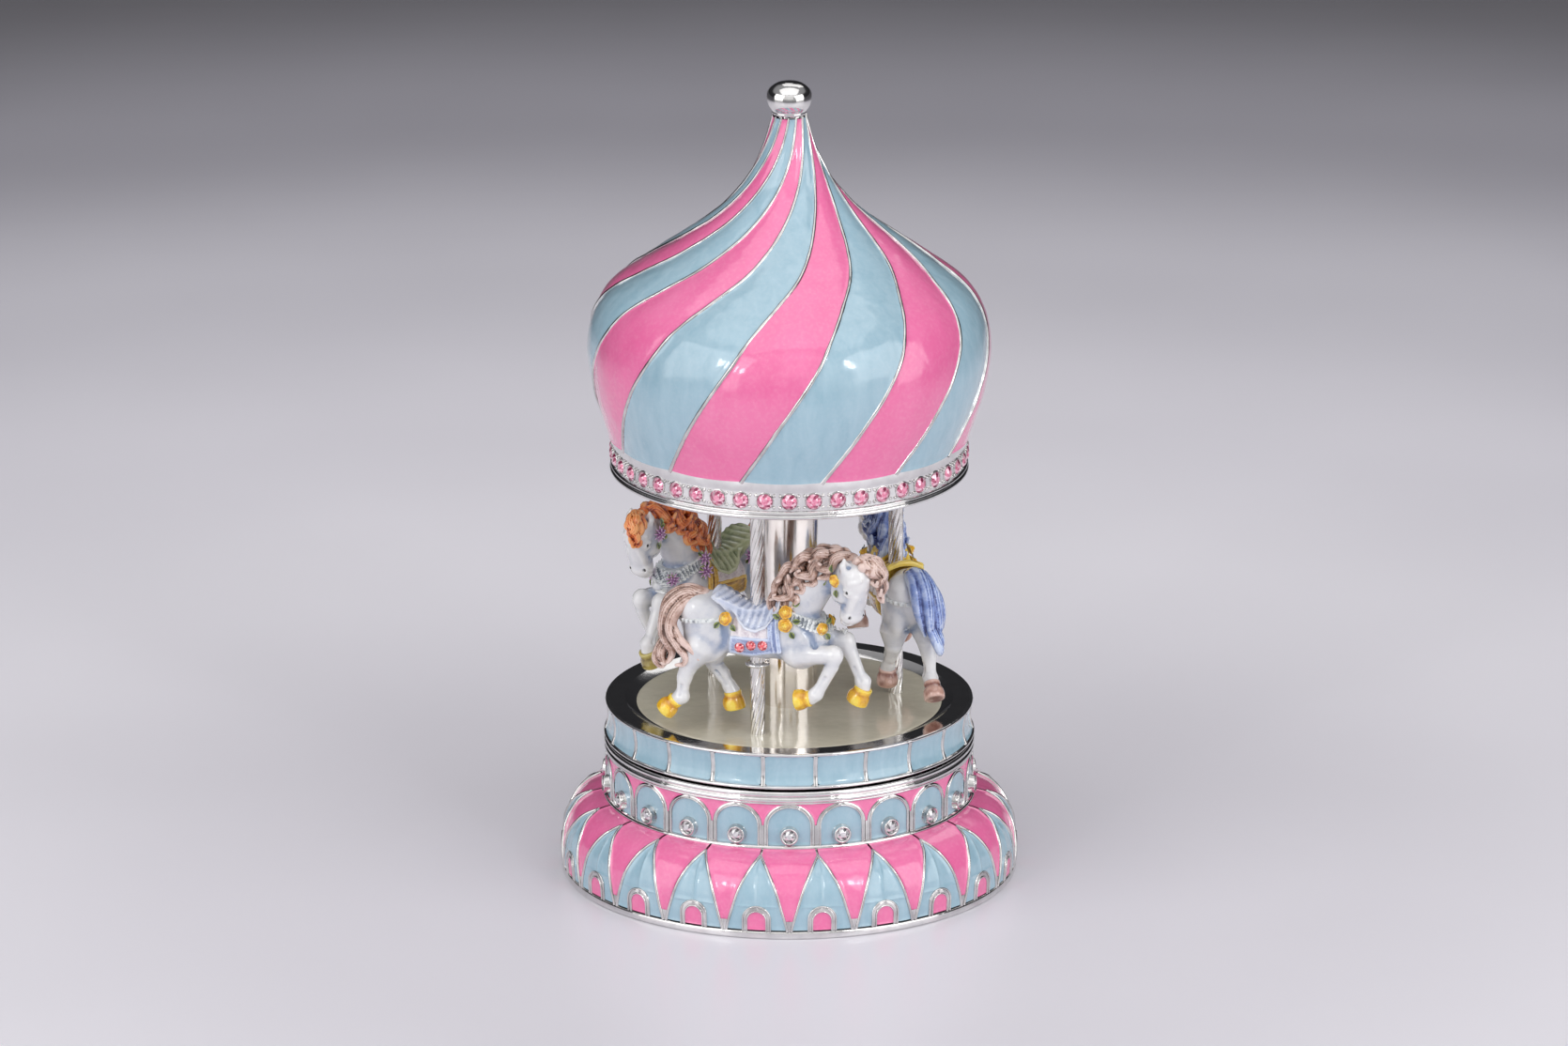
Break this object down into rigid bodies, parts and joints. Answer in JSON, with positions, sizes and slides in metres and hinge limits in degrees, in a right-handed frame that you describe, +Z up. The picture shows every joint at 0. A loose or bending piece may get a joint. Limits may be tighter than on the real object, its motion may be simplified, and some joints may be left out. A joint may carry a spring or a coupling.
{
  "type": "carousel music box",
  "caption": "Wind-up musical carousel: horses on twisted poles under an onion dome turn on a flared base with a key underneath.",
  "frame": {"origin": "centre of the circular foot's underside, on the surface that the music box stands on", "axes": "+Z up along the spindle that the turntable turns on; the front horse's pole lies towards -Y"},
  "size_m": [0.088, 0.088, 0.1568],
  "materials": {
    "silver_plate": "bright silver plate over a zinc casting",
    "pink_enamel": "glossy hot pink enamel",
    "blue_enamel": "glossy pale blue enamel",
    "cream_enamel": "glossy cream enamel",
    "clear_crystal": "foiled clear brilliant",
    "pink_crystal": "foiled pink brilliant",
    "red_crystal": "foiled coral red brilliant",
    "steel": "turned steel",
    "nickel_steel": "nickel-plated movement frame",
    "comb_steel": "hardened spring steel",
    "brass": "turned brass",
    "key_brass": "polished brass key",
    "bottom_lacquer": "satin lacquered plate",
    "horse_enamel": "pearly white enamel",
    "mane_brown": "rose brown enamel",
    "mane_orange": "orange enamel",
    "mane_blue": "periwinkle blue enamel",
    "saddle_blue": "pale blue enamel",
    "saddle_green": "sage green enamel",
    "saddle_yellow": "yellow enamel",
    "trim_white": "white enamel piping and pleats",
    "cloth_pink": "pink enamel cloth edge",
    "rose_yellow": "yellow to orange enamel petals",
    "rose_purple": "purple enamel petals",
    "leaf_green": "green enamel leaves",
    "hoof_gold": "golden enamel hooves",
    "hoof_olive": "olive gold enamel hooves",
    "hoof_rose": "rose brown enamel hooves",
    "cloth_gold": "golden enamel cloth patches",
    "eye_dark": "dark enamel eyes and nostrils"
  },
  "bodies": {
    "base": {"base_shell": "silver_plate", "top_cover": "silver_plate", "spindle_bush": "brass", "waist_collets": "silver_plate", "waist_crystals": "clear_crystal", "bottom_plate": "bottom_lacquer", "bottom_plate_screws": "steel", "movement_screws": "steel", "bedplate": "nickel_steel", "inner_bracket": "nickel_steel", "outer_bracket": "nickel_steel", "governor_frame": "nickel_steel", "governor_post": "nickel_steel", "worm_footstep": "brass", "comb": "comb_steel", "comb_block": "nickel_steel", "comb_screws": "steel", "ratchet_click": "comb_steel"},
    "key": {"winding_key": "key_brass", "winding_arbor": "steel", "ratchet_wheel": "steel"},
    "carousel": {"barrel": "brass", "barrel_cover": "brass", "great_wheel": "brass", "mainspring": "comb_steel", "spindle": "steel", "turntable_hub": "brass", "carrier_plate": "silver_plate", "turntable_band": "silver_plate", "floor_disc": "cream_enamel", "centre_column": "silver_plate", "tie_rod": "steel", "front_pole": "silver_plate", "right_pole": "silver_plate", "left_pole": "silver_plate", "pole_nuts": "steel", "pole_collars": "silver_plate", "brown_horse": "horse_enamel", "blue_horse": "horse_enamel", "orange_horse": "horse_enamel", "saddle_stones": "red_crystal", "ceiling_plate": "silver_plate", "ceiling_screws": "steel", "cornice": "silver_plate", "cornice_crystals": "pink_crystal", "dome": "silver_plate", "finial": "silver_plate"},
    "cylinder": {"pinned_cylinder": "brass", "cylinder_arbor": "steel", "cylinder_pinion": "brass", "cylinder_wheel": "brass"},
    "governor": {"governor_arbor": "steel", "governor_pinion": "brass", "worm_wheel": "brass"},
    "fan": {"governor_worm": "steel", "governor_fan": "brass"}
  },
  "joints": [
    {"name": "turntable_spin", "type": "hinge", "parent": "base", "child": "carousel", "pos_m": [0, 0, 0.0268], "axis": [0, 0, 1], "continuous": true},
    {"name": "key_wind", "type": "hinge", "parent": "base", "child": "key", "pos_m": [0, 0, 0.0054], "axis": [0, 0, 1], "range_deg": [0, 1530]},
    {"name": "cylinder_turn", "type": "hinge", "parent": "base", "child": "cylinder", "pos_m": [0, 0, 0.0145], "axis": [1, 0, 0], "continuous": true},
    {"name": "governor_turn", "type": "hinge", "parent": "base", "child": "governor", "pos_m": [0, -0.00845, 0.0145], "axis": [1, 0, 0], "continuous": true},
    {"name": "fan_spin", "type": "hinge", "parent": "base", "child": "fan", "pos_m": [0.0225, -0.01235, 0], "axis": [0, 0, 1], "continuous": true}
  ],
  "couplings": [
    {"joint": "cylinder_turn", "follows": "turntable_spin", "ratio": -4},
    {"joint": "governor_turn", "follows": "turntable_spin", "ratio": 14.667},
    {"joint": "fan_spin", "follows": "turntable_spin", "ratio": 146.67}
  ]
}
